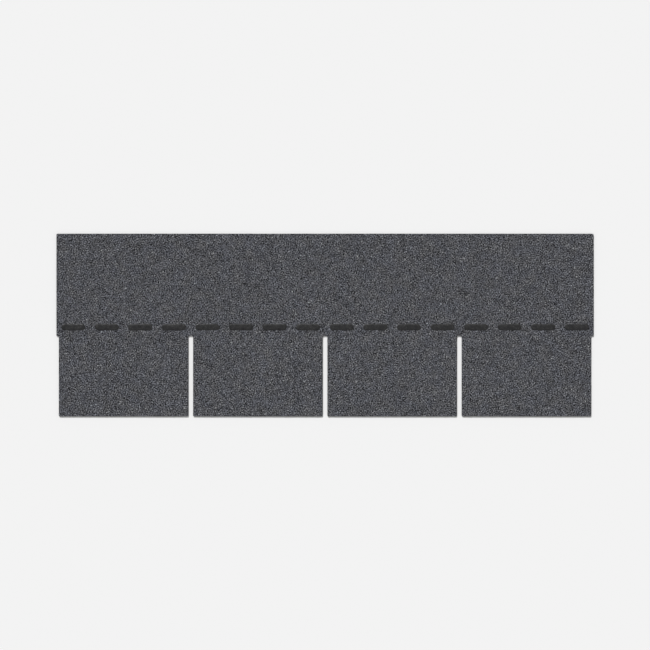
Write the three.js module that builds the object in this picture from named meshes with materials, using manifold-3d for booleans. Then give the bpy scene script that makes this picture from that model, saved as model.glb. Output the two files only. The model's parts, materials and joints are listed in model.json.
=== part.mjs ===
// Asphalt strip shingle with four square tabs: one unit, lying face up as it comes out of its pack.
// It is one sheet of bitumen-coated glass mat cut to a comb outline, with a row of self-seal bitumen
// dabs on its face, just above the slots, and a strip of release film on its back.
// Millimetres. +X runs along the strip, +Y from the butt edge to the head edge, and +Z is up.
// The origin is under the middle of the strip, on the surface that it lies on.

import * as THREE from 'three';
import { mergeVertices } from 'three/addons/utils/BufferGeometryUtils.js';
import Module from 'manifold-3d';

const wasm = await Module();
wasm.setup();

// The sheet
const STRIP_LENGTH = 1000;
const STRIP_DEPTH = 340; // butt edge to head edge
const STRIP_THICKNESS = 3;
const CORNER_RADIUS = 2; // the die leaves every outer corner slightly round

// The tabs and the slots that part them
const TAB_COUNT = 4;
const EXPOSURE = 145; // what the next course leaves showing of a tab
const SLOT_WIDTH = 9;
const SLOT_OVERRUN = 5; // how far a slot runs on under the next course
const SLOT_END_RADIUS = 3;

// The self-seal dabs
const DABS_PER_TAB = 4;
const DAB_LENGTH = 45;
const DAB_WIDTH = 12;
const DAB_HEIGHT = 0.8;
const DAB_TO_SLOT = 10; // from the slots' ends up to the dabs
const NAIL_LINE_TO_DAB = 15; // from the dabs up to the line that the nails are driven along

// The release film
const FILM_THICKNESS = 0.1;
const FILM_MARGIN = 6; // what it covers past the dabs on either side

const ARC_STEPS = 4; // facets in a corner's arc
const DAB_SIDES = 16; // facets round a dab's section, half of which show
const DAB_CAP_STEPS = 4; // rings in a dab's rounded end

// Places that follow from the sizes above
const tabPitch = STRIP_LENGTH / TAB_COUNT;
const endX = STRIP_LENGTH / 2;
const headY = STRIP_DEPTH / 2;
const buttY = -STRIP_DEPTH / 2;
const slotEndY = buttY + EXPOSURE + SLOT_OVERRUN;
const dabY = slotEndY + DAB_TO_SLOT + DAB_WIDTH / 2;
const nailY = dabY + DAB_WIDTH / 2 + NAIL_LINE_TO_DAB;
const backZ = FILM_THICKNESS;
const faceZ = backZ + STRIP_THICKNESS;

const bitumen = { roughness: 0.9, metalness: 0 };
const graniteGrey = new THREE.MeshStandardMaterial({ color: 0x515256, ...bitumen });
const sealantBlack = new THREE.MeshStandardMaterial({ color: 0x17171a, roughness: 0.35, metalness: 0 });
const filmGrey = new THREE.MeshStandardMaterial({ color: 0xb9bcc0, roughness: 0.25, metalness: 0 });

// A closed mesh as a solid that can be cut
function solidOf(geometry) {
  const bare = geometry.clone();
  bare.deleteAttribute('normal');
  bare.deleteAttribute('uv');
  const welded = mergeVertices(bare, 1e-5);
  return new wasm.Manifold(new wasm.Mesh({
    numProp: 3,
    vertProperties: new Float32Array(welded.attributes.position.array),
    triVerts: new Uint32Array(welded.index.array),
  }));
}

// A cut solid back as a geometry
function geometryOf(solid) {
  const mesh = solid.getMesh();
  const geometry = new THREE.BufferGeometry();
  geometry.setAttribute('position', new THREE.BufferAttribute(mesh.vertProperties, 3));
  geometry.setIndex(new THREE.BufferAttribute(mesh.triVerts, 1));
  geometry.computeVertexNormals();
  return geometry;
}

// The lower stretch of the die's outline, from the nail line down to the butt edge and back up. Each tab
// stands in from its pitch by half a slot on both sides, so two strips laid end to end leave a full slot
// at their joint.
function tabsOutline() {
  const outline = new THREE.Shape();
  const quarter = Math.PI / 2;
  const half = SLOT_WIDTH / 2;
  const corner = CORNER_RADIUS;
  const end = SLOT_END_RADIUS;

  outline.moveTo(-endX, nailY);
  outline.lineTo(-endX, slotEndY);
  for (let tab = 0; tab < TAB_COUNT; tab += 1) {
    const from = -endX + tab * tabPitch + half;
    const to = from + tabPitch - SLOT_WIDTH;
    outline.absarc(from - end, slotEndY - end, end, quarter, 0, true);
    outline.absarc(from + corner, buttY + corner, corner, 2 * quarter, 3 * quarter);
    outline.absarc(to - corner, buttY + corner, corner, 3 * quarter, 4 * quarter);
    outline.absarc(to + end, slotEndY - end, end, 2 * quarter, quarter, true);
  }
  outline.lineTo(endX, slotEndY);
  outline.lineTo(endX, nailY);
  return outline;
}

// The upper stretch, from the nail line to the head edge, which the next courses cover
function lapOutline() {
  const outline = new THREE.Shape();
  const quarter = Math.PI / 2;
  const corner = CORNER_RADIUS;
  outline.moveTo(-endX, nailY);
  outline.lineTo(endX, nailY);
  outline.absarc(endX - corner, headY - corner, corner, 0, quarter);
  outline.absarc(-endX + corner, headY - corner, corner, quarter, 2 * quarter);
  return outline;
}

function sheetOf(outline) {
  return new THREE.ExtrudeGeometry(outline, {
    depth: STRIP_THICKNESS,
    bevelEnabled: false,
    curveSegments: ARC_STEPS,
  });
}

function shingleStrip() {
  const sheet = solidOf(sheetOf(tabsOutline())).add(solidOf(sheetOf(lapOutline())));
  const strip = new THREE.Mesh(geometryOf(sheet), graniteGrey);
  strip.name = 'shingle_strip';
  strip.position.z = backZ;
  return strip;
}

// A dab is a bead of bitumen that sank flat as it cooled: the top half of a squashed capsule
function dabGeometry() {
  const radius = DAB_WIDTH / 2;
  const bead = new THREE.CapsuleGeometry(radius, DAB_LENGTH - DAB_WIDTH, DAB_CAP_STEPS, DAB_SIDES);
  bead.rotateZ(Math.PI / 2);
  bead.scale(1, 1, DAB_HEIGHT / radius);
  const above = new THREE.BoxGeometry(2 * DAB_LENGTH, 2 * DAB_WIDTH, 2 * DAB_HEIGHT);
  above.translate(0, 0, DAB_HEIGHT);
  return geometryOf(solidOf(bead).intersect(solidOf(above)));
}

function sealantDabs() {
  const row = new THREE.Group();
  const shape = dabGeometry();
  const count = TAB_COUNT * DABS_PER_TAB;
  const dabPitch = STRIP_LENGTH / count;
  for (let i = 0; i < count; i += 1) {
    const dab = new THREE.Mesh(shape, sealantBlack);
    dab.name = `sealant_dab_${String(i + 1).padStart(2, '0')}`;
    dab.position.x = -endX + (i + 0.5) * dabPitch;
    row.add(dab);
  }
  row.position.set(0, dabY, faceZ);
  return row;
}

// The film lies along the middle of the back. It covers the dabs of the strip under it in the pack,
// whether that strip lies the same way round or turned end for end.
function releaseFilm() {
  const reach = Math.abs(dabY) + DAB_WIDTH / 2 + FILM_MARGIN;
  const film = new THREE.Mesh(new THREE.BoxGeometry(STRIP_LENGTH, 2 * reach, FILM_THICKNESS), filmGrey);
  film.name = 'release_film';
  film.position.z = FILM_THICKNESS / 2;
  return film;
}

const shingle = new THREE.Group();
shingle.add(shingleStrip(), sealantDabs(), releaseFilm());

export default shingle;
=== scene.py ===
# The looks of one asphalt strip shingle: a bitumen-coated glass mat with a granule face, lying face up.
# The file follows the shingle as the mill makes it: web, granules, sealant, release film, and then the
# studio it is shown in.

import json
import math
import random

import bpy
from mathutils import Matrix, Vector

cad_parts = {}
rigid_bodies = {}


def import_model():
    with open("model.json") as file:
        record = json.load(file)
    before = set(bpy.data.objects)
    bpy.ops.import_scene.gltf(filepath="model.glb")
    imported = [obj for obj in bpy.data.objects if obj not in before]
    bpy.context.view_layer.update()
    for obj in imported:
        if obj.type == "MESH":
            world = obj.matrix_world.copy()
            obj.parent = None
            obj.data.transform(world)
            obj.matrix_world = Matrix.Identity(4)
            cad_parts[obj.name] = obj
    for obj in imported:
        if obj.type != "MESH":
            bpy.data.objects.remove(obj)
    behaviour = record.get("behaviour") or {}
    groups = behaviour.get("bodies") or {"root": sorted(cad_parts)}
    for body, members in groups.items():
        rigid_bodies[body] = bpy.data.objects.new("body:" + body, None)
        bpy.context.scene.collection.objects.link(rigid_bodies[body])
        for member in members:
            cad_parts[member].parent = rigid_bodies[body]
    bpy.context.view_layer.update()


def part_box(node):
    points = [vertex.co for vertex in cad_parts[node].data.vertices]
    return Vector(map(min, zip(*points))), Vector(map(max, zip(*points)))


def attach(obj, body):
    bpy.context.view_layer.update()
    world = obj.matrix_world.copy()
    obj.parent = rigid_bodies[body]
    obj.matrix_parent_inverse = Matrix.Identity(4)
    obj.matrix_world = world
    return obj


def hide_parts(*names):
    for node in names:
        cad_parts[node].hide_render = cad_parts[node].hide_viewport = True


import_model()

# ---------------------------------------------------------------------------------------------------
# The web
# A glass-fibre mat is soaked and coated on both sides with hot bitumen, run out 2.4 mm thick, and cut by
# a die into strips. The slots are punched in the same stroke, so all edges show bare black bitumen with
# the mat in its middle, torn a little ragged. Fine sand on the back keeps it from sticking.
# ---------------------------------------------------------------------------------------------------
TAB_COUNT = 4
SLOT_WIDTH = 0.009
SLOT_LENGTH = 0.150
SLOT_END_RADIUS = 0.003
CORNER_RADIUS = 0.002
ARC_STEPS = 4  # facets in a corner's arc
GRANULE_STAND = 0.0006  # from the bitumen up to the middling granule's top
EDGE_STEP = 0.0016  # spacing of the points along a cut edge
EDGE_LAYERS = 3  # rows of points between its foot and its top
EDGE_RAGGED = 0.0005  # how wide a line the torn edge keeps to
EDGE_NICK = 0.0022  # and how long its nicks are
STRAIGHT = 0.9  # a line this near to upright counts as upright, and a face to level as level
TOUCHING = 0.0002  # and two places this close count as one

strip_low, strip_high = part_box("shingle_strip")
strip_size = strip_high - strip_low
strip_middle = (strip_low + strip_high) / 2
tab_pitch = strip_size.x / TAB_COUNT
slot_end_y = strip_low.y + SLOT_LENGTH
bitumen_top = strip_high.z - GRANULE_STAND


def deselect_all():
    bpy.ops.object.select_all(action="DESELECT")


def take_up(piece):
    """Makes one piece the only selected and active one."""
    deselect_all()
    bpy.context.view_layer.objects.active = piece
    piece.select_set(True)


def made(name):
    """The primitive that was just added, under its own name."""
    piece = bpy.context.object
    piece.name = piece.data.name = name
    return piece


def copied(piece, name):
    """A second piece, with a mesh of its own."""
    twin = piece.copy()
    twin.data = piece.data.copy()
    twin.name = twin.data.name = name
    bpy.context.scene.collection.objects.link(twin)
    return twin


def open_mesh(piece, mode="VERT"):
    """Sets what edit mode selects by, and deselects all of it."""
    take_up(piece)
    bpy.ops.object.mode_set(mode="EDIT")
    bpy.ops.mesh.select_mode(type=mode)
    bpy.ops.mesh.select_all(action="DESELECT")
    bpy.ops.object.mode_set(mode="OBJECT")


def pick(items, wanted):
    """Selects the vertices, edges or faces that wanted() says yes to."""
    for item in items:
        if wanted(item):
            item.select = True


def reshape(operator, **values):
    """Runs one edit mode operator on what is selected."""
    bpy.ops.object.mode_set(mode="EDIT")
    operator(**values)
    bpy.ops.object.mode_set(mode="OBJECT")


def settle(piece):
    """Puts a piece's place into its mesh."""
    take_up(piece)
    bpy.ops.object.transform_apply(location=True, rotation=True, scale=True)


def finish_with(piece, kind, **settings):
    """Adds one modifier and applies it."""
    modifier = piece.modifiers.new(kind.lower(), kind)
    for name, value in settings.items():
        setattr(modifier, name, value)
    take_up(piece)
    bpy.ops.object.modifier_apply(modifier=modifier.name)


def lumps(name, size):
    """A pattern of soft lumps of about that size, to push a surface with."""
    pattern = bpy.data.textures.new(name, "CLOUDS")
    pattern.noise_scale = size
    return pattern


def push(piece, pattern, direction, reach):
    """Moves every point of a piece by the pattern, up to half the reach either way."""
    finish_with(piece, "DISPLACE", texture=pattern, texture_coords="LOCAL", direction=direction,
                strength=reach)


def ends(piece, edge):
    """Where an edge's two ends are."""
    return [piece.data.vertices[i].co for i in edge.vertices]


def length(piece, edge):
    a, b = ends(piece, edge)
    return (a - b).length


def upright(piece, edge):
    a, b = ends(piece, edge)
    return abs(a.z - b.z) > STRAIGHT * (a - b).length


def block(name, low, high):
    """A cube between two corners, to start a piece from."""
    deselect_all()
    bpy.ops.mesh.primitive_cube_add(size=1, location=(low + high) / 2)
    piece = made(name)
    piece.scale = high - low
    settle(piece)
    return piece


web = block("bitumen_web", strip_low, Vector((strip_high.x, strip_high.y, bitumen_top)))

# The die punches one slot at each joint between tabs, and half a slot at each end of the strip
slot_half = Vector((SLOT_WIDTH / 2, SLOT_LENGTH, strip_size.z))
strip_corner = Vector((strip_low.x, strip_low.y, strip_middle.z))
punch = block("punch", strip_corner - slot_half, strip_corner + slot_half)
open_mesh(punch, "EDGE")
pick(punch.data.edges, lambda e: upright(punch, e))
reshape(bpy.ops.mesh.bevel, offset=SLOT_END_RADIUS, segments=ARC_STEPS)
finish_with(punch, "ARRAY", count=TAB_COUNT + 1, use_relative_offset=False,
            use_constant_offset=True, constant_offset_displace=(tab_pitch, 0, 0))
finish_with(web, "BOOLEAN", object=punch, operation="DIFFERENCE", solver="EXACT")
bpy.data.objects.remove(punch)


# The die leaves every outer corner slightly round
def outer_corner(edge):
    y = ends(web, edge)[0].y
    return upright(web, edge) and min(abs(y - strip_low.y), abs(y - strip_high.y)) < TOUCHING


open_mesh(web, "EDGE")
pick(web.data.edges, outer_corner)
reshape(bpy.ops.mesh.bevel, offset=CORNER_RADIUS, segments=ARC_STEPS)
bed = copied(web, "bed")  # for the granules to fall on, with the die's clean outline


# Points all along the cut edges and a few down them, to be torn a little off the line
def cuts_in(edge):
    return 0 if upright(web, edge) else max(0, round(length(web, edge) / EDGE_STEP) - 1)


for cuts in sorted({cuts_in(e) for e in web.data.edges} - {0}):
    open_mesh(web, "EDGE")
    pick(web.data.edges, lambda e: cuts_in(e) == cuts)
    reshape(bpy.ops.mesh.subdivide, number_cuts=cuts)
open_mesh(web, "EDGE")
pick(web.data.edges, lambda e: upright(web, e))
reshape(bpy.ops.mesh.subdivide, number_cuts=EDGE_LAYERS)

nicks = lumps("nicks", EDGE_NICK)
for direction in ("X", "Y"):
    push(web, nicks, direction, EDGE_RAGGED)


class Wire:
    """A socket that sums can be written with, such as 1 - wire or wire * 0.5."""

    def __init__(self, bench, socket):
        self.bench = bench
        self.socket = socket

    def __add__(self, other):
        return self.bench.maths("ADD", self, other)

    def __radd__(self, other):
        return self.bench.maths("ADD", other, self)

    def __sub__(self, other):
        return self.bench.maths("SUBTRACT", self, other)

    def __rsub__(self, other):
        return self.bench.maths("SUBTRACT", other, self)

    def __mul__(self, other):
        return self.bench.maths("MULTIPLY", self, other)

    def __rmul__(self, other):
        return self.bench.maths("MULTIPLY", other, self)

    def __pow__(self, other):
        return self.bench.maths("POWER", self, other)

    def __rpow__(self, other):
        return self.bench.maths("POWER", other, self)


class Bench:
    """A node tree, with one method that adds a node to it, and a few that call on that one."""

    def __init__(self, tree):
        self.tree = tree
        tree.nodes.clear()

    def node(self, kind, settings=None, sockets=None, out=None):
        """Adds a node, sets it up, fills or links its sockets, and gives the output or outputs named."""
        new = self.tree.nodes.new(kind)
        for name, value in (settings or {}).items():
            if name == "stops":
                self.set_stops(new.color_ramp, value)
            else:
                setattr(new, name, value)
        for name, value in (sockets or {}).items():
            into = self.socket(new.inputs, name)
            if isinstance(value, Wire):
                self.tree.links.new(value.socket, into)
            else:
                into.default_value = value
        if isinstance(out, tuple):
            return [Wire(self, self.socket(new.outputs, name)) for name in out]
        return Wire(self, self.socket(new.outputs, out)) if len(new.outputs) else None

    @staticmethod
    def socket(sockets, name):
        """A socket by its number or name, or the first in use. Some nodes keep spare ones of one name."""
        if isinstance(name, int):
            return sockets[name]
        return next(s for s in sockets if s.enabled and name in (None, s.name))

    @staticmethod
    def set_stops(ramp, stops):
        while len(ramp.elements) < len(stops):
            ramp.elements.new(1)
        for element, (position, colour) in zip(ramp.elements, stops):
            element.position = position
            element.color = colour

    def maths(self, operation, *values):
        """One Math node."""
        return self.node("ShaderNodeMath", {"operation": operation}, dict(enumerate(values)))

    def vector_maths(self, operation, *values):
        """One Vector Math node."""
        return self.node("ShaderNodeVectorMath", {"operation": operation}, dict(enumerate(values)))

    def parts(self, vector):
        """The three numbers of a vector."""
        return self.node("ShaderNodeSeparateXYZ", sockets={"Vector": vector}, out=("X", "Y", "Z"))

    def vector(self, x, y, z):
        return self.node("ShaderNodeCombineXYZ", sockets={"X": x, "Y": y, "Z": z})

    def swing(self, value, reach):
        """A number from 0 to 1 as one about 0, up to half the reach either way."""
        return (value - 0.5) * reach

    def remap(self, value, span, to=(0, 1)):
        """A number moved from one span to another, and held inside that."""
        return self.node("ShaderNodeMapRange", sockets={
            "Value": value, "From Min": span[0], "From Max": span[1], "To Min": to[0], "To Max": to[1]})

    def blend(self, mask, a, b, mode="MIX"):
        """One colour over another where the mask is 1."""
        return self.node("ShaderNodeMix", {"data_type": "RGBA", "blend_type": mode},
                         {"Factor": mask, "A": a, "B": b})

    def ramp(self, value, stops):
        return self.node("ShaderNodeValToRGB", {"stops": stops}, {"Fac": value}, "Color")

    def place(self):
        """Where on the piece a point of its surface is."""
        return self.node("ShaderNodeTexCoord", out="Object")

    def squeezed(self, place, shares):
        """That place with its sides made shorter, so that a pattern is drawn out along them."""
        return self.node("ShaderNodeMapping", sockets={"Vector": place, "Scale": shares})

    def noise(self, place, size, detail=2.0):
        """Cloudy noise from 0 to 1, with lumps of about that size in metres."""
        return self.node("ShaderNodeTexNoise", sockets={
            "Vector": place, "Scale": 0.5 / size, "Detail": detail}, out="Fac")

    def grit(self, place, size):
        """Grains of about that size: a number by chance for each, and how far its middle is."""
        chance, hollow = self.node("ShaderNodeTexVoronoi", sockets={
            "Vector": place, "Scale": 1 / size}, out=("Color", "Distance"))
        return self.parts(chance)[0], hollow

    def bump(self, height, depth, strength=1.0):
        """Fine relief of that depth."""
        return self.node("ShaderNodeBump", sockets={
            "Height": height, "Distance": depth, "Strength": strength})

    def surface(self, sockets):
        """The shader itself, which ends a finish."""
        shader = self.node("ShaderNodeBsdfPrincipled", sockets=sockets)
        self.node("ShaderNodeOutputMaterial", sockets={"Surface": shader})


def new_finish(name):
    """An empty material and its bench."""
    material = bpy.data.materials.new(name)
    material.use_nodes = True
    return material, Bench(material.node_tree)


def srgb(red, green, blue):
    """A colour as it looks on screen, 0 to 255, as the renderer counts it."""
    def linear(c):
        c /= 255
        return c / 12.92 if c <= 0.04045 else ((c + 0.055) / 1.055) ** 2.4
    return (linear(red), linear(green), linear(blue), 1)


NOISE_SPREAD = (0.3, 0.7)  # what nearly all of a noise lies in
NOISE_MIDDLE = (0.35, 0.65)  # and most of it

BITUMEN_GRIT = 0.0007
BITUMEN_GREYS = [(0.0, srgb(20, 20, 22)), (0.3, srgb(38, 38, 41)),
                 (0.8, srgb(72, 73, 78)), (1.0, srgb(106, 108, 114))]
BITUMEN_GAPS = (0.3, 0.7)  # from a grain's rim to the gap round it, in sizes of a grain
BITUMEN_GAP_GREY = srgb(14, 14, 16)
BITUMEN_RELIEF = 0.0004
BITUMEN_ROUGHNESS = 0.9


def bitumen_finish():
    """Coating bitumen full of the finest grit, which shows between the granules."""
    material, bench = new_finish("coating_bitumen")
    chance, hollow = bench.grit(bench.place(), BITUMEN_GRIT)
    bench.surface({
        "Base Color": bench.blend(bench.remap(hollow, BITUMEN_GAPS),
                                  bench.ramp(chance, BITUMEN_GREYS), BITUMEN_GAP_GREY),
        "Roughness": BITUMEN_ROUGHNESS,
        "Normal": bench.bump(1 - hollow, BITUMEN_RELIEF)})
    return material


TEAR_SIZE = 0.0004
TEAR_DETAIL = 4
TEAR_DRAWN = (1, 1, 0.3)  # the die draws the tears out from top to foot
TEAR_GREYS = (srgb(14, 14, 15), srgb(46, 45, 46))
TEAR_ROUGHNESS = (0.4, 0.8)
TEAR_RELIEF = 0.0003
TEAR_STRENGTH = 0.8
MAT_HEIGHT = 0.0014  # where the glass mat shows in the cut edge
MAT_BAND = 0.0005  # how far above and below that it thins out to nothing
MAT_WAVER = 0.0008
FIBRE_SIZE = 0.00012
FIBRE_SHOWS = (0.50, 0.62)
FIBRE_COVER = 0.6
FIBRE_COLOUR = srgb(92, 90, 86)


def cut_edge_finish():
    """The section that the die leaves: drawn and torn bitumen, with the ends of glass fibres in it."""
    material, bench = new_finish("cut_edge")
    place = bench.place()
    tear = bench.noise(bench.squeezed(place, TEAR_DRAWN), TEAR_SIZE, TEAR_DETAIL)
    height = bench.parts(place)[2]
    off_mat = height - MAT_HEIGHT + bench.swing(tear, MAT_WAVER)
    mat = bench.remap(off_mat ** 2, (0, MAT_BAND ** 2), (1, 0))
    fibre = bench.remap(bench.noise(place, FIBRE_SIZE), FIBRE_SHOWS)
    bench.surface({
        "Base Color": bench.blend(mat * fibre * FIBRE_COVER, bench.blend(tear, *TEAR_GREYS),
                                  FIBRE_COLOUR),
        "Roughness": bench.remap(tear, NOISE_SPREAD, TEAR_ROUGHNESS),
        "Normal": bench.bump(tear, TEAR_RELIEF, TEAR_STRENGTH)})
    return material


SAND_GRIT = 0.0004
SAND_PATCH = 0.012
SAND_PATCH_DETAIL = 4
SAND_PATCHY = 0.5  # how much thinner the sand lies in one patch than in another
SAND_COLOURS = [(0.00, srgb(22, 22, 23)), (0.28, srgb(34, 34, 35)), (0.36, srgb(78, 75, 70)),
                (0.80, srgb(122, 118, 110)), (1.00, srgb(170, 166, 158))]
SAND_GAPS = (0.35, 0.75)
SAND_GAP_GREY = srgb(20, 20, 21)
SAND_ROUGHNESS = (0.7, 0.95)
SAND_RELIEF = 0.0002


def sanded_back_finish():
    """Fine pale sand rolled into the back's bitumen, which shows where the sand is thin."""
    material, bench = new_finish("sanded_back")
    place = bench.place()
    chance, hollow = bench.grit(place, SAND_GRIT)
    patch = bench.noise(place, SAND_PATCH, SAND_PATCH_DETAIL)
    sand = bench.ramp(chance + bench.swing(patch, SAND_PATCHY), SAND_COLOURS)
    bench.surface({
        "Base Color": bench.blend(bench.remap(hollow, SAND_GAPS), sand, SAND_GAP_GREY),
        "Roughness": bench.remap(chance, (0, 1), SAND_ROUGHNESS),
        "Normal": bench.bump(1 - hollow, SAND_RELIEF)})
    return material


FACE, CUT, BACK = range(3)
for finish in (bitumen_finish(), cut_edge_finish(), sanded_back_finish()):
    web.data.materials.append(finish)
for side in web.data.polygons:
    lift = side.normal.z
    side.material_index = FACE if lift > STRAIGHT else BACK if lift < -STRAIGHT else CUT
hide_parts("shingle_strip")
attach(web, "root")

# ---------------------------------------------------------------------------------------------------
# The granules
# Crushed stone, fired with a grey ceramic coat, is poured on the hot bitumen and rolled in: chips of 1
# to 3 mm, every way round, their greys well mixed, with a bright one here and there. The die cuts them
# at every edge. They are kept as one piece for each tab and one for the stretch of lap above it.
# ---------------------------------------------------------------------------------------------------
CHIP_KINDS = 4 * [(4, "ridge")] + 5 * [(4, "peak")] + 3 * [(3, "peak")]  # each one's sides and crown
CHIP_FOOTPRINT = 2.45e-6  # the ground that a chip covers, in square metres
CHIP_CROWN = 0.00074  # from its foot to its top
CHIP_RIDGE = 0.45  # how wide the flat top that closes up to a ridge is, as a share of the foot
CHIP_LEAN = (0.0002, 0.0008)  # how far a chip's crown stands off its middle
CHIP_KNOCK = 0.00026  # how far chance knocks each of its corners
KNOCK_SHARES = (1, 1, 0.7)  # and how much of that goes along, across and up
CHIP_BURIED = 0.00006  # how deep a chip's flat underside sits in the bitumen
CHIP_GAP = 0.00110  # least distance between two chips' middles
CHIP_DROP = 3.4e6  # chips poured on each square metre, of which the gap leaves one in seven or eight
CHIP_TILT = math.radians(16)  # how far off level one lies at most, along and across
CHIP_SCALE = (0.70, 1.25)
BREAK_INSET = 0.0002  # how far inside its own line the die breaks the chips off
MIX_STEP = 0.0020  # how far it is from a dark chip to a pale one
MIX_WAVES = 2.0  # how many times there and back one patch of the pattern holds
MIX_EVEN = 2.2  # how much of a chip's grey follows that pattern
MIX_CHANCE = 0.8  # and how much is chance
POUR_SEED = 7
TURN_SEED, SCALE_SEED, GREY_SEED = 1, 2, 3


def closes_up(edge):
    """Says yes to two opposite sides of a chip's flat top."""
    a, b = ends(chip, edge)
    return min(a.z, b.z) > CHIP_CROWN / 2 and (a.x - b.x) * (a.y - b.y) > 0


random.seed(POUR_SEED)
chip_box = bpy.data.collections.new("chip_box")
bpy.context.scene.collection.children.link(chip_box)
for number, (sides, crown) in enumerate(CHIP_KINDS):
    radius = math.sqrt(2 * CHIP_FOOTPRINT / (sides * math.sin(math.tau / sides)))
    deselect_all()
    bpy.ops.mesh.primitive_cone_add(vertices=sides, radius1=radius, depth=CHIP_CROWN,
                                    radius2=radius * CHIP_RIDGE if crown == "ridge" else 0,
                                    location=(0, 0, CHIP_CROWN / 2 - CHIP_BURIED))
    chip = made(f"chip_{number + 1}")
    settle(chip)
    if crown == "ridge":
        # Two opposite sides of its flat top close up to a point each, and leave the ridge between them
        open_mesh(chip, "EDGE")
        pick(chip.data.edges, closes_up)
        reshape(bpy.ops.mesh.merge, type="COLLAPSE")
    turn = random.uniform(0, math.tau)
    lean = Vector((math.cos(turn), math.sin(turn), 0)) * random.uniform(*CHIP_LEAN)
    for vertex in chip.data.vertices:
        if vertex.co.z > CHIP_CROWN / 2:
            vertex.co += lean
        vertex.co += Vector([random.uniform(-1, 1) * share for share in KNOCK_SHARES]) * CHIP_KNOCK
    for home in chip.users_collection:
        home.objects.unlink(chip)
    chip_box.objects.link(chip)

# Of the bed only the top is kept, drawn in from its edges
open_mesh(bed, "FACE")
pick(bed.data.polygons, lambda f: f.normal.z < STRAIGHT)
reshape(bpy.ops.mesh.delete, type="FACE")
reshape(bpy.ops.mesh.select_all, action="SELECT")
reshape(bpy.ops.mesh.inset, thickness=BREAK_INSET)
reshape(bpy.ops.mesh.select_all, action="INVERT")
reshape(bpy.ops.mesh.delete, type="FACE")


def geometry_bench(name):
    """A geometry node group with one way in and one way out."""
    tree = bpy.data.node_groups.new(name, "GeometryNodeTree")
    for way in ("INPUT", "OUTPUT"):
        tree.interface.new_socket("Geometry", in_out=way, socket_type="NodeSocketGeometry")
    bench = Bench(tree)
    return tree, bench, bench.node("NodeGroupInput")


def drop_group():
    """Drops points on the bed, and keeps those that lie the gap apart."""
    tree, bench, onto = geometry_bench("drop")
    points = bench.node("GeometryNodeDistributePointsOnFaces", {"distribute_method": "POISSON"}, {
        "Mesh": onto, "Distance Min": CHIP_GAP, "Density Max": CHIP_DROP, "Seed": POUR_SEED})
    fallen = bench.node("GeometryNodePointsToVertices", sockets={"Points": points})
    bench.node("NodeGroupOutput", sockets={0: fallen})
    return tree


def lay_group():
    """Lays a chip on every point, turned and scaled by chance, and numbered from 0, dark, to 1, pale."""
    tree, bench, points = geometry_bench("lay")

    def by_chance(low, high, seed):
        kind = "FLOAT_VECTOR" if isinstance(low, tuple) else "FLOAT"
        return bench.node("FunctionNodeRandomValue", {"data_type": kind}, {
            "Min": low, "Max": high, "Seed": seed})

    def stored(geometry, name, kind, domain, value):
        return bench.node("GeometryNodeStoreNamedAttribute", {"data_type": kind, "domain": domain}, {
            "Geometry": geometry, "Name": name, "Value": value})

    chips = bench.node("GeometryNodeCollectionInfo", sockets={
        "Collection": chip_box, "Separate Children": True, "Reset Children": True})
    lying = bench.node("GeometryNodeInstanceOnPoints", sockets={
        "Points": points, "Instance": chips, "Pick Instance": True,
        "Rotation": by_chance((-CHIP_TILT, -CHIP_TILT, 0), (CHIP_TILT, CHIP_TILT, math.tau), TURN_SEED),
        "Scale": by_chance(*CHIP_SCALE, SCALE_SEED)})

    # A pale chip lies beside a dark one more often than chance alone would have it
    place = bench.node("GeometryNodeInputPosition")
    mixed = bench.node("ShaderNodeTexGabor", {"gabor_type": "2D"}, {
        "Vector": place, "Scale": 0.5 / (MIX_WAVES * MIX_STEP), "Frequency": MIX_WAVES,
        "Anisotropy": 0.0}, "Value")
    number = (bench.swing(by_chance(0, 1, GREY_SEED), MIX_CHANCE)
              + bench.swing(mixed, MIX_EVEN) + 0.5)
    numbered = stored(lying, "grain", "FLOAT", "INSTANCE", number)
    whole = bench.node("GeometryNodeRealizeInstances", sockets={"Geometry": numbered})

    # The die cuts off what stands out over the edge: a corner out there moves back to the edge's line
    x, y, z = bench.parts(place)
    ground = bench.node("GeometryNodeObjectInfo", sockets={"Object": bed}, out="Geometry")
    nearest = bench.node("GeometryNodeProximity", {"target_element": "FACES"}, {
        "Geometry": ground, "Sample Position": bench.vector(x, y, bitumen_top)}, "Position")
    inside_x, inside_y = bench.parts(nearest)[:2]
    cut = bench.node("GeometryNodeSetPosition", sockets={
        "Geometry": whole, "Position": bench.vector(inside_x, inside_y, z)})

    # The map named OFBake: the chips as seen from above, spread over the box of the stretch they lie on
    low, high = bench.node("GeometryNodeBoundBox", sockets={"Geometry": cut}, out=("Min", "Max"))
    share = bench.vector_maths("DIVIDE", bench.vector_maths("SUBTRACT", place, low),
                               bench.vector_maths("SUBTRACT", high, low))
    bench.node("NodeGroupOutput", sockets={0: stored(cut, "OFBake", "FLOAT2", "CORNER", share)})
    return tree


drop_tree = drop_group()
lay_tree = lay_group()
dropped = copied(bed, "dropped")
finish_with(dropped, "NODES", node_group=drop_tree)


def pour(name, low, high):
    """The chips on one stretch of the strip."""
    piece = copied(dropped, name)
    open_mesh(piece)
    pick(piece.data.vertices, lambda v: not (low.x <= v.co.x < high.x and low.y <= v.co.y < high.y))
    reshape(bpy.ops.mesh.delete, type="VERT")
    finish_with(piece, "NODES", node_group=lay_tree)
    return piece


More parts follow.
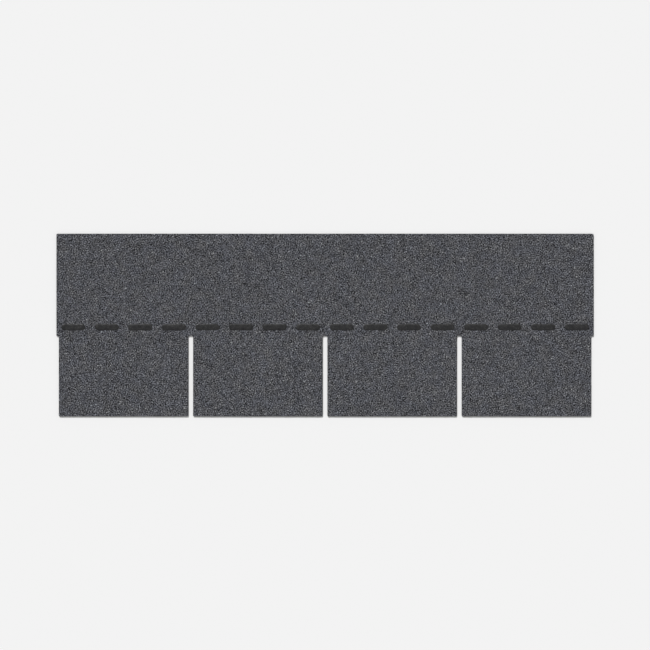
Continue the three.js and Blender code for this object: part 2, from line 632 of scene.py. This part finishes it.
CHIP_GREYS = [(0.00, srgb(2, 2, 4)), (0.10, srgb(5, 5, 8)), (0.22, srgb(61, 61, 65)),
              (0.50, srgb(99, 99, 103)), (0.70, srgb(113, 113, 117)), (0.90, srgb(133, 133, 137)),
              (1.00, srgb(154, 154, 157))]
FLECK_SIZE = 0.00035
FLECK_SHARE = 0.24  # how far the flecks in a chip darken and lighten it
BRIGHT_SHARE = 0.0025  # one chip in 400 is of bright stone
BRIGHT_GREYS = (srgb(162, 165, 167), srgb(220, 221, 219))
BRIGHT_DRAW = 211  # a chip's number times this, less the whole part, draws which chips those are
HUE_DRAW = 37  # and times this, how warm or cool a chip is
CHIP_HUES = (srgb(250, 250, 247), srgb(241, 246, 255))
DRIFT_SIZE = 0.011
DRIFT_DETAIL = 3
DRIFT_SHARE = 0.65  # how much of its hue a chip shares with those round it
CHIP_ROUGHNESS = (0.95, 0.70)  # the dark ones are the dullest
CHIP_GLOSS = 0.2


def granule_finish():
    """Each chip has a grey and a hue of its own, by its number, over a slow drift of hue."""
    material, bench = new_finish("granules")
    place = bench.place()
    grain = bench.node("ShaderNodeAttribute", {"attribute_name": "grain"}, out="Fac")
    fleck = bench.noise(place, FLECK_SIZE)
    plain = bench.ramp(grain + bench.swing(fleck, FLECK_SHARE), CHIP_GREYS)
    bright = bench.blend(bench.remap(fleck, NOISE_MIDDLE), *BRIGHT_GREYS)
    is_bright = bench.maths("GREATER_THAN", bench.maths("FRACT", grain * BRIGHT_DRAW), 1 - BRIGHT_SHARE)
    own_hue = bench.maths("FRACT", grain * HUE_DRAW)
    drift = bench.remap(bench.noise(place, DRIFT_SIZE, DRIFT_DETAIL), NOISE_MIDDLE)
    hue = bench.blend(drift * DRIFT_SHARE + own_hue * (1 - DRIFT_SHARE), *CHIP_HUES)
    bench.surface({
        "Base Color": bench.blend(1.0, bench.blend(is_bright, plain, bright), hue, "MULTIPLY"),
        "Roughness": bench.remap(grain, (0, 1), CHIP_ROUGHNESS),
        "Specular IOR Level": CHIP_GLOSS})
    return material


coat = granule_finish()
for tab in range(TAB_COUNT):
    west = strip_low.x + tab * tab_pitch
    stretches = {"tab": (strip_low.y, slot_end_y), "lap": (slot_end_y, strip_high.y)}
    for stretch, (south, north) in stretches.items():
        granules = pour(f"granules_{stretch}_{tab + 1}",
                        Vector((west, south)), Vector((west + tab_pitch, north)))
        granules.data.materials.clear()
        granules.data.materials.append(coat)
        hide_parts("shingle_strip")
        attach(granules, "root")
bpy.data.objects.remove(dropped)
bpy.data.objects.remove(bed)
for chip in list(chip_box.objects):
    bpy.data.objects.remove(chip)
bpy.data.collections.remove(chip_box)
for tree in (drop_tree, lay_tree):
    bpy.data.node_groups.remove(tree)

# ---------------------------------------------------------------------------------------------------
# The sealant
# Sixteen short beads of soft bitumen are printed hot across the face, four to a tab. Each slumps to a
# low smooth dome before it sets, runs in between the granules and draws out to a wavering outline. The
# next course's tabs stick to them once the sun has warmed the roof.
# ---------------------------------------------------------------------------------------------------
DAB_COUNT = 16
DAB_SIDES = 24
DAB_CUTS = 24  # points along each straight side
DAB_RINGS = 5
DAB_FLAT = math.radians(72)  # how far up its round shoulder goes before the flat of the top
DAB_WAVER = 0.0022  # how wide a line its sides wander in
DAB_WAVER_SIZE = 0.006
DAB_CREEP = 0.0007  # how far they run in and out between granules
DAB_CREEP_SIZE = 0.0016
DAB_SAG = 0.0005  # how much its top swells and sinks
DAB_SAG_SIZE = 0.010
DAB_CREASE = math.radians(50)  # the bend that still shows as an edge

dab_low, dab_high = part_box("sealant_dab_01")
dab_length, dab_width, dab_height = dab_high - dab_low
dab_stretch = (dab_length - dab_width) / 2
dab_foot = dab_low.z - bitumen_top  # the part that stands in among the granules

deselect_all()
bpy.ops.mesh.primitive_cylinder_add(vertices=DAB_SIDES, radius=dab_width / 2, depth=dab_foot,
                                    location=(0, 0, dab_foot / 2),
                                    rotation=(0, 0, math.pi / DAB_SIDES))
bead = made("bead")
settle(bead)
for side in (-1, 1):
    open_mesh(bead)
    pick(bead.data.vertices, lambda v: v.co.x * side > 0)
    reshape(bpy.ops.transform.translate, value=(side * dab_stretch, 0, 0))
open_mesh(bead, "EDGE")
pick(bead.data.edges, lambda e: length(bead, e) > dab_stretch)
reshape(bpy.ops.mesh.subdivide, number_cuts=DAB_CUTS)
open_mesh(bead, "FACE")
pick(bead.data.polygons, lambda f: f.normal.z > STRAIGHT)
for ring in range(DAB_RINGS):
    below, above = (DAB_FLAT * step / DAB_RINGS for step in (ring, ring + 1))
    reshape(bpy.ops.mesh.inset, thickness=dab_width / 2 * (math.cos(below) - math.cos(above)),
            depth=dab_height * (math.sin(above) - math.sin(below)))


def smooth(piece, crease):
    """Shades a piece as rounded, but for the bends that are sharper than the crease."""
    take_up(piece)
    bpy.ops.object.shade_smooth_by_angle(angle=crease)


SEALANT_BLACK = srgb(15, 15, 17)
SEALANT_GLOSS = 0.3
SEALANT_ROUGHNESS = (0.26, 0.54)
DUST_SIZE = 0.0025
DUST_DETAIL = 5
DUST_SHOWS = (0.40, 0.70)
DUST_COVER = 0.6
DUST_GREY = srgb(128, 127, 124)
SPECK_SIZE = 0.0001
SPECK_DETAIL = 1
SPECK_SHOWS = (0.58, 0.68)
SKIN_SIZE = 0.0007
SKIN_DETAIL = 3
SKIN_RELIEF = 0.0001
SKIN_STRENGTH = 0.6
PIT_SIZE = 0.0016
PIT_UNEVEN = 0.3
PIT_RIM = (0.10, 0.35)
PIT_DEPTH = 0.5  # as a share of the skin's relief


def sealant_finish():
    """Soft bitumen, glossy where it slumped and dulled by a little parting dust."""
    material, bench = new_finish("soft_bitumen")
    place = bench.place()
    dust = bench.noise(place, DUST_SIZE, DUST_DETAIL)
    speck = bench.remap(bench.noise(place, SPECK_SIZE, SPECK_DETAIL), SPECK_SHOWS)
    powder = speck * bench.remap(dust, DUST_SHOWS, (0, DUST_COVER))
    skin = bench.noise(place, SKIN_SIZE, SKIN_DETAIL)
    chance, hollow = bench.grit(place, PIT_SIZE)
    pit = bench.remap(hollow + chance * PIT_UNEVEN, PIT_RIM)
    bench.surface({
        "Base Color": bench.blend(powder, SEALANT_BLACK, DUST_GREY),
        "Roughness": bench.remap(dust, NOISE_SPREAD, SEALANT_ROUGHNESS),
        "Specular IOR Level": SEALANT_GLOSS,
        "Normal": bench.bump(skin + pit * PIT_DEPTH, SKIN_RELIEF, SKIN_STRENGTH)})
    return material


waver = lumps("waver", DAB_WAVER_SIZE)
creep = lumps("creep", DAB_CREEP_SIZE)
sag = lumps("sag", DAB_SAG_SIZE)
soft_bitumen = sealant_finish()
for number in range(1, DAB_COUNT + 1):
    node = f"sealant_dab_{number:02}"
    low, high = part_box(node)
    dab = copied(bead, f"sealant_bead_{number:02}")
    dab.location = ((low.x + high.x) / 2, (low.y + high.y) / 2, bitumen_top)
    settle(dab)
    for direction in ("X", "Y"):
        push(dab, waver, direction, DAB_WAVER)
        push(dab, creep, direction, DAB_CREEP)
    push(dab, sag, "Z", DAB_SAG)
    smooth(dab, DAB_CREASE)
    dab.data.materials.append(soft_bitumen)
    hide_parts(node)
    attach(dab, "root")
bpy.data.objects.remove(bead)

# ---------------------------------------------------------------------------------------------------
# The release film
# A narrow tape of polyester film, laid along the back while it is still warm, so that the beads of the
# shingle below don't stick to it in the pack. It lies loosely rippled, and stays on when it is laid.
# ---------------------------------------------------------------------------------------------------
FILM_THICKNESS = 0.00004
FILM_CELLS = (200, 6)
FILM_RIPPLE = 0.00008
FILM_RIPPLE_SIZE = 0.012
FILM_CREASE = math.radians(30)

film_low, film_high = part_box("release_film")
film_size = film_high - film_low
deselect_all()
bpy.ops.mesh.primitive_grid_add(x_subdivisions=FILM_CELLS[0], y_subdivisions=FILM_CELLS[1], size=1,
                                location=(film_low + film_high) / 2)
tape = made("release_tape")
tape.scale = (film_size.x, film_size.y, 1)
settle(tape)
push(tape, lumps("ripple", FILM_RIPPLE_SIZE), "Z", FILM_RIPPLE)
finish_with(tape, "SOLIDIFY", thickness=FILM_THICKNESS, offset=0)
smooth(tape, FILM_CREASE)

FILM_SILVERS = (srgb(150, 154, 158), srgb(204, 207, 210))
FILM_ROUGHNESS = (0.16, 0.4)
FILM_RELIEF = 0.0003
FILM_STRENGTH = 0.6
SCUFF_SIZE = 0.004
SCUFF_DETAIL = 4
SCUFF_SHARE = 0.5  # of the film's colour, and the roll marks set the rest
ROLL_MARK_SIZE = 0.0008
ROLL_MARK_DETAIL = 3
ROLL_MARK_DRAWN = (0.06, 1, 1)  # the rollers draw their marks out along the film
ROLL_MARK_DEPTH = 0.2  # as a share of the ripple's relief
FOLD_SIZE = 0.005
FOLD_DETAIL = 4


def tape_finish():
    """Clear film over grey bitumen, which shows as a cool silver, with dull scuffs along it."""
    material, bench = new_finish("tape")
    place = bench.place()
    scuff = bench.noise(place, SCUFF_SIZE, SCUFF_DETAIL)
    roll_mark = bench.noise(bench.squeezed(place, ROLL_MARK_DRAWN), ROLL_MARK_SIZE, ROLL_MARK_DETAIL)
    fold = bench.noise(place, FOLD_SIZE, FOLD_DETAIL)
    bench.surface({
        "Base Color": bench.blend(scuff * SCUFF_SHARE + roll_mark * (1 - SCUFF_SHARE), *FILM_SILVERS),
        "Roughness": bench.remap(scuff, NOISE_SPREAD, FILM_ROUGHNESS),
        "Normal": bench.bump(fold + roll_mark * ROLL_MARK_DEPTH, FILM_RELIEF, FILM_STRENGTH)})
    return material


tape.data.materials.append(tape_finish())
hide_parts("release_film")
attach(tape, "root")

# ---------------------------------------------------------------------------------------------------
# The studio
# The shingle lies on a plain pale floor, under one broad lamp at its head end, a little to the left,
# and an even white surround. The camera looks straight down on it through a long lens.
# ---------------------------------------------------------------------------------------------------
FLOOR_SIZE = 60
FLOOR_DROP = 0.0002  # keeps the floor clear of the tape's underside
FLOOR_WHITE = (0.88, 0.88, 0.88, 1)
FLOOR_ROUGHNESS = 0.95
SURROUND_LIGHT = 0.40
SURROUND_SEEN = 0.895  # what the camera and clear or glossy surfaces see of it
LAMP_PLACE = Vector((-1.1, 2.7, 2.8))
LAMP_SPREAD = math.radians(13)
LAMP_POWER = 2.8
CAMERA_HEIGHT = 5.0
CAMERA_VIEW = 1.21  # how wide a stretch of floor it sees

deselect_all()
bpy.ops.mesh.primitive_plane_add(size=FLOOR_SIZE, location=(0, 0, -FLOOR_DROP))
floor = made("floor")
settle(floor)
floor_paint, bench = new_finish("floor_paint")
bench.surface({"Base Color": FLOOR_WHITE, "Roughness": FLOOR_ROUGHNESS, "Specular IOR Level": 0.0})
floor.data.materials.append(floor_paint)

surround = bpy.data.worlds.new("surround")
surround.use_nodes = True
bpy.context.scene.world = surround
bench = Bench(surround.node_tree)
seen, by_gloss, by_glass = bench.node("ShaderNodeLightPath", out=(
    "Is Camera Ray", "Is Glossy Ray", "Is Transmission Ray"))
for ray in (by_gloss, by_glass):
    seen = bench.maths("MAXIMUM", seen, ray)
white = bench.node("ShaderNodeBackground", sockets={
    "Color": (1, 1, 1, 1), "Strength": SURROUND_LIGHT + seen * (SURROUND_SEEN - SURROUND_LIGHT)})
bench.node("ShaderNodeOutputWorld", sockets={"Surface": white})

deselect_all()
bpy.ops.object.light_add(type="SUN", location=LAMP_PLACE,
                         rotation=LAMP_PLACE.to_track_quat("Z", "Y").to_euler())
lamp = made("lamp")
lamp.data.angle = LAMP_SPREAD
lamp.data.energy = LAMP_POWER

deselect_all()
bpy.ops.object.camera_add(location=(0, 0, strip_high.z + CAMERA_HEIGHT), rotation=(0, 0, 0))
camera = made("camera")
camera.data.lens = CAMERA_HEIGHT * camera.data.sensor_width / CAMERA_VIEW
camera.data.clip_end = 2 * FLOOR_SIZE
bpy.context.scene.camera = camera
bpy.context.scene.view_settings.view_transform = "Standard"
